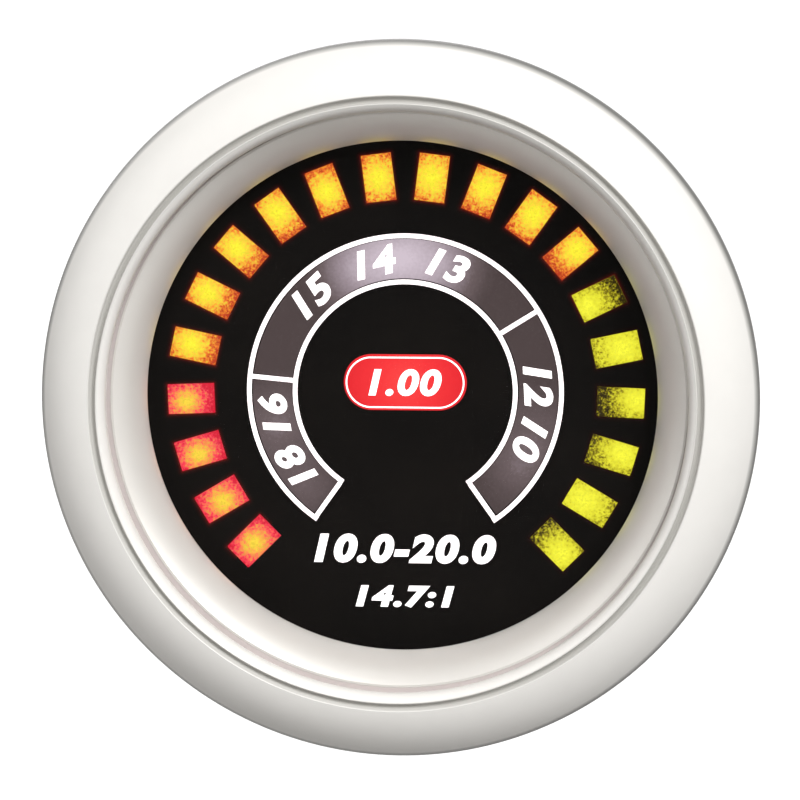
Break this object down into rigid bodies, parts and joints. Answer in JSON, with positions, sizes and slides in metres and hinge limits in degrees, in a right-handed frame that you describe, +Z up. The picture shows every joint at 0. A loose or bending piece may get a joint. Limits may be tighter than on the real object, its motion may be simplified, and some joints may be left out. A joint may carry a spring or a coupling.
{
  "type": "air fuel ratio gauge",
  "caption": "Round panel gauge with a satin bezel, clear lens, lit bar dial, black can, harness socket and a rear clamp with knurled nuts.",
  "frame": {"origin": "on the gauge's axis, in the plane where the rear of the bezel seats on the panel's front", "axes": "+Y runs along the gauge's axis from the dial to the rear, +Z up the dial, +X to the right as seen from the front"},
  "size_m": [0.06, 0.0562, 0.06],
  "materials": {
    "bezel_satin": "satin",
    "lens_clear": "polished",
    "gasket_grey": "moulded silicone",
    "reflector_silver": "satin silver paint on a moulded ring",
    "dial_black": "printed matte black",
    "window_red": "frosted, lit from behind",
    "window_amber": "frosted, lit from behind",
    "window_green": "frosted, lit from behind",
    "band_grey": "translucent, lit from behind",
    "badge_red": "frosted, lit from behind",
    "box_white": "moulded",
    "lamp_red": "clear cast",
    "lamp_amber": "clear cast",
    "lamp_green": "clear cast",
    "lamp_white": "clear cast",
    "board_green": "solder mask",
    "chip_black": "moulded",
    "tinned": "tinned",
    "capacitor_blue": "sleeved",
    "regulator_black": "moulded",
    "diode_black": "moulded",
    "resistor_grey": "glazed",
    "header_black": "moulded",
    "contact_gold": "gold plated",
    "spacer_brass": "turned",
    "housing_black": "fine moulded grain",
    "zinc_steel": "zinc plated",
    "nut_brass": "knurled",
    "socket_natural": "moulded"
  },
  "bodies": {
    "gauge": {"front_bezel": "bezel_satin", "front_lens": "lens_clear", "lens_gasket": "gasket_grey", "reflector_ring": "reflector_silver", "dial_plate": "dial_black", "red_windows": "window_red", "amber_windows": "window_amber", "green_windows": "window_green", "band_windows": "band_grey", "badge_window": "badge_red", "light_box": "box_white", "red_leds": "lamp_red", "amber_leds": "lamp_amber", "green_leds": "lamp_green", "backlight_leds": "lamp_white", "display_board": "board_green", "driver_board": "board_green", "driver_chips": "chip_black", "chip_pins": "tinned", "capacitors": "capacitor_blue", "voltage_regulator": "regulator_black", "input_diodes": "diode_black", "resistors": "resistor_grey", "pin_header": "header_black", "header_socket": "header_black", "header_pins": "contact_gold", "board_spacers": "spacer_brass", "board_screws": "zinc_steel", "housing": "housing_black", "rear_cover": "housing_black", "cover_screws": "zinc_steel", "mounting_studs": "zinc_steel", "socket_shell": "socket_natural", "socket_pins": "contact_gold"},
    "bracket": {"clamp_bracket": "zinc_steel", "washers": "zinc_steel"},
    "left_nut": {"nut_left": "nut_brass"},
    "right_nut": {"nut_right": "nut_brass"}
  },
  "joints": [
    {"name": "left_nut_turn", "type": "hinge", "parent": "bracket", "child": "left_nut", "pos_m": [-0.016, 0.042, 0], "axis": [0, -1, 0], "range_deg": [-2316, 2573]},
    {"name": "clamp_slide", "type": "slide", "parent": "gauge", "child": "bracket", "axis": [0, -1, 0], "range_m": [-0.0045, 0.005]},
    {"name": "right_nut_turn", "type": "hinge", "parent": "bracket", "child": "right_nut", "pos_m": [0.016, 0.042, 0], "axis": [0, -1, 0], "range_deg": [-2316, 2573]}
  ],
  "couplings": [
    {"joint": "left_nut_turn", "follows": "clamp_slide", "rad_per_m": 8976},
    {"joint": "right_nut_turn", "follows": "clamp_slide", "rad_per_m": 8976}
  ]
}
